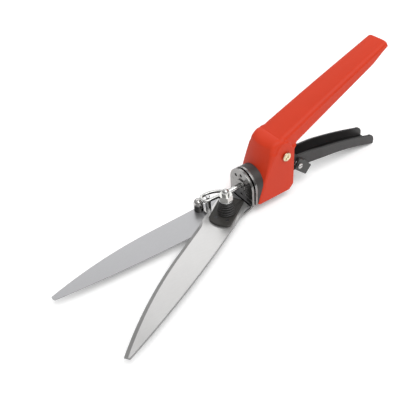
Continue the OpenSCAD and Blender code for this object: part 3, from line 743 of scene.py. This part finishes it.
# Material, slot and edge width in millimetres; then the bevel's angle and whether the faces are flat
CARRIED = {
    "swivel_collar": (PLASTIC, "black_plastic", 0.5),
    "mounting_yoke": (PLATE, "zinc_steel", 0.3),
    "detent_balls": (BRIGHT, "bright_steel", 0),
    "detent_springs": (SPRING, "spring_steel", 0),
    "lever_pin": (PIN, "zinc_steel", 0.3),
    "pin_washer": (ZINC, "zinc_steel", 0.15),
    "lever_spacers": (ZINC, "zinc_steel", 0.2),
    "squeeze_lever": (LEVER_BLACK, "black_paint", 0.25),
    "lever_bush": (BRONZE, "bush_bronze", 0.2),
    "catch_screw": (BRIGHT, "bright_steel", 0.15),
    "catch_washer": (ZINC, "zinc_steel", 0.15),
    "lock_catch": (CATCH_BLACK, "black_paint", 0.35),
    "drive_trunnion": (ZINC, "zinc_steel", 0.3),
    "head_bracket": (PLATE, "zinc_steel", 0.35),
    "swivel_sleeve": (PLATE, "zinc_steel", 0.25),
    "swivel_washer": (DARK, "dark_steel", 0.1),
    "sleeve_washer": (ZINC, "zinc_steel", 0.15),
    "sleeve_clip": (DARK, "dark_steel", 0.15),
    "fixed_blade": (BLADE_LOW, "blade_steel", 0.06, 15, True),
    "blade_rivets": (ZINC, "blade_steel", 0.2),
    "stop_stud": (STUD, "bright_steel", 0.3),
    "stud_nut": (NUT, "zinc_steel", 0.2),
    "pivot_bolt": (BRIGHT, "bright_steel", 0.2),
    "nut_washer": (ZINC, "zinc_steel", 0.12),
    "pivot_nut": (NUT, "bright_steel", 0.15),
    "moving_blade": (BLADE_TOP, "blade_steel", 0.06, 15, True),
    "drive_plate": (BLACK, "black_paint", 0.4),
    "plate_rivets": (DARK, "dark_steel", 0.15),
    "drive_stud": (ZINC, "dark_steel", 0.25),
    "rod_nuts": (NUT, "zinc_steel", 0.2),
}
for node_name, look in CARRIED.items():
    finish_node(node_name, *look)

# ---------------------------------------------------------------- studio

WORLD_STOPS = [(0.0, 0.80), (0.49, 0.55), (0.53, 0.22), (0.66, 0.42), (0.82, 0.68), (1.0, 0.80)]
WORLD_STRENGTH = 0.80
FLOOR_Z = CAD_BOX[0].z - 0.2 * MM
FLOOR_SIZE = 3.0
FLOOR_TONE, FLOOR_ROUGH, FLOOR_SHINE, FLOOR_GLOW = (0.95, 0.95, 0.95, 1), 0.9, 0.1, 0.16

# Each light's place, target, size in metres and power in watts
LIGHTS = {
    "key": ((-0.05, 0.55, 1.1), (0, 0, 0), (1.1, 1.1), 11.5),
    "back": ((-0.6, -1.3, 1.0), (0, 0, 0.02), (2.2, 1.1), 8),
}


def studio():
    """A plain pale floor, a world that is brighter overhead, and two soft lights."""
    scene = bpy.context.scene
    scene.view_settings.view_transform = "Standard"
    scene.view_settings.look = "None"
    world = bpy.data.worlds.new("studio")
    scene.world = world
    world.use_nodes = True
    nodes, links = world.node_tree.nodes, world.node_tree.links
    background = nodes["Background"]
    coords = nodes.new("ShaderNodeTexCoord")
    split = nodes.new("ShaderNodeSeparateXYZ")
    links.new(coords.outputs["Generated"], split.inputs[0])
    level = ramp(nodes, WORLD_STOPS)
    shift = nodes.new("ShaderNodeMapRange")
    shift.inputs["From Min"].default_value = -1
    shift.inputs["From Max"].default_value = 1
    links.new(split.outputs["Z"], shift.inputs["Value"])
    links.new(shift.outputs["Result"], level.inputs["Fac"])
    links.new(level.outputs["Color"], background.inputs["Color"])
    background.inputs["Strength"].default_value = WORLD_STRENGTH

    def grid(work):
        bmesh.ops.create_grid(work, x_segments=4, y_segments=4, size=FLOOR_SIZE,
                              matrix=Matrix.Translation((0, 0, FLOOR_Z)))

    floor = link("floor", mesh_of("floor", grid))
    pale = bpy.data.materials.new("pale_floor")
    pale.use_nodes = True
    shader = pale.node_tree.nodes["Principled BSDF"]
    shader.inputs["Base Color"].default_value = FLOOR_TONE
    shader.inputs["Roughness"].default_value = FLOOR_ROUGH
    shader.inputs["Specular IOR Level"].default_value = FLOOR_SHINE
    shader.inputs["Emission Color"].default_value = (1, 1, 1, 1)
    shader.inputs["Emission Strength"].default_value = FLOOR_GLOW
    floor.data.materials.append(pale)

    for name, (place, target, size, power) in LIGHTS.items():
        light = bpy.data.lights.new(name, "AREA")
        light.shape = "RECTANGLE"
        light.size, light.size_y = size
        light.energy = power
        obj = bpy.data.objects.new(name, light)
        obj.location = place
        obj.rotation_euler = (Vector(target) - Vector(place)).to_track_quat("-Z", "Y").to_euler()
        scene.collection.objects.link(obj)


studio()

VIEW_FROM = at(204.2, 303.8, 312.0)
VIEW_AHEAD = Vector((-0.3955, -0.6474, -0.6515)).normalized()
VIEW_ROLL = -5.47
LENS, SENSOR, CLIP_START = 54, 36, 0.01


def camera():
    """The photo's view, a little rolled."""
    turn = VIEW_AHEAD.to_track_quat("-Z", "Y").to_matrix().to_4x4()
    roll = Matrix.Rotation(math.radians(VIEW_ROLL), 4, "Z")
    data = bpy.data.cameras.new("camera")
    data.lens = LENS
    data.sensor_width = SENSOR
    data.clip_start = CLIP_START
    obj = bpy.data.objects.new("camera", data)
    obj.matrix_world = Matrix.Translation(VIEW_FROM) @ turn @ roll
    bpy.context.scene.collection.objects.link(obj)
    bpy.context.scene.camera = obj


camera()
